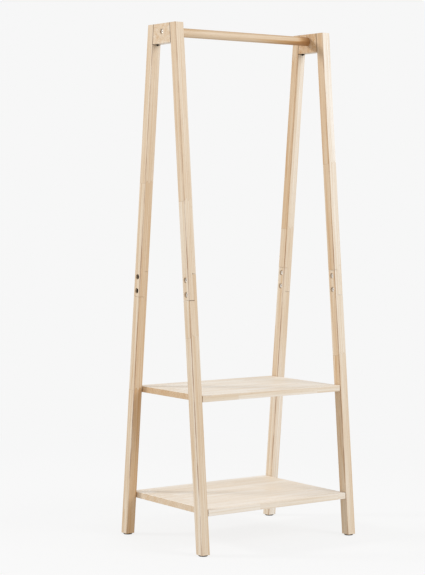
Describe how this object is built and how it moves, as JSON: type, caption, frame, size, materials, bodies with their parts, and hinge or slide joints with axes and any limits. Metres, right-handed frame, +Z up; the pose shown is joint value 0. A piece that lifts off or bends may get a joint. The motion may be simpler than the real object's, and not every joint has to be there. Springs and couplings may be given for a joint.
{
  "type": "clothes rack",
  "caption": "Free-standing timber clothes rack: two A-shaped end frames, a round hanging rail at the top and flat shelves across the lower part, on plastic glides.",
  "frame": {"origin": "on the floor, midway between the four feet", "axes": "+X along the hanging rail to the right, +Y from front to back, +Z up; the rack is the same from front and back"},
  "size_m": [0.6, 0.4432, 1.6],
  "materials": {
    "leg_timber": "clear satin lacquer on finger-jointed pale hardwood",
    "block_timber": "clear satin lacquer",
    "rail_timber": "clear satin lacquer",
    "shelf_panel": "clear satin lacquer on edge-glued staves",
    "dowel_beech": "plain",
    "nickel_hardware": "nickel plated, satin",
    "zinc_fixing": "zinc plated",
    "black_screw": "black oxide",
    "brass_insert": "plain",
    "glide_plastic": "dark brown, matt"
  },
  "bodies": {
    "root": {"upper_leg_front_left": "leg_timber", "lower_leg_front_left": "leg_timber", "upper_leg_front_right": "leg_timber", "lower_leg_front_right": "leg_timber", "upper_leg_rear_left": "leg_timber", "lower_leg_rear_left": "leg_timber", "upper_leg_rear_right": "leg_timber", "lower_leg_rear_right": "leg_timber", "head_block_left": "block_timber", "head_block_right": "block_timber", "hanging_rail": "rail_timber", "upper_shelf": "shelf_panel", "lower_shelf": "shelf_panel", "rail_bolt_left": "nickel_hardware", "rail_insert_left": "brass_insert", "head_dowels_left": "dowel_beech", "head_screws_left": "black_screw", "rail_bolt_right": "nickel_hardware", "rail_insert_right": "brass_insert", "head_dowels_right": "dowel_beech", "head_screws_right": "black_screw", "lap_bolts_front_left": "nickel_hardware", "lap_cap_nuts_front_left": "nickel_hardware", "foot_glide_front_left": "glide_plastic", "lap_bolts_front_right": "nickel_hardware", "lap_cap_nuts_front_right": "nickel_hardware", "foot_glide_front_right": "glide_plastic", "lap_bolts_rear_left": "nickel_hardware", "lap_cap_nuts_rear_left": "nickel_hardware", "foot_glide_rear_left": "glide_plastic", "lap_bolts_rear_right": "nickel_hardware", "lap_cap_nuts_rear_right": "nickel_hardware", "foot_glide_rear_right": "glide_plastic", "upper_shelf_cam_bolts": "zinc_fixing", "upper_shelf_cams": "zinc_fixing", "lower_shelf_cam_bolts": "zinc_fixing", "lower_shelf_cams": "zinc_fixing", "glide_screws": "zinc_fixing"}
  },
  "joints": []
}
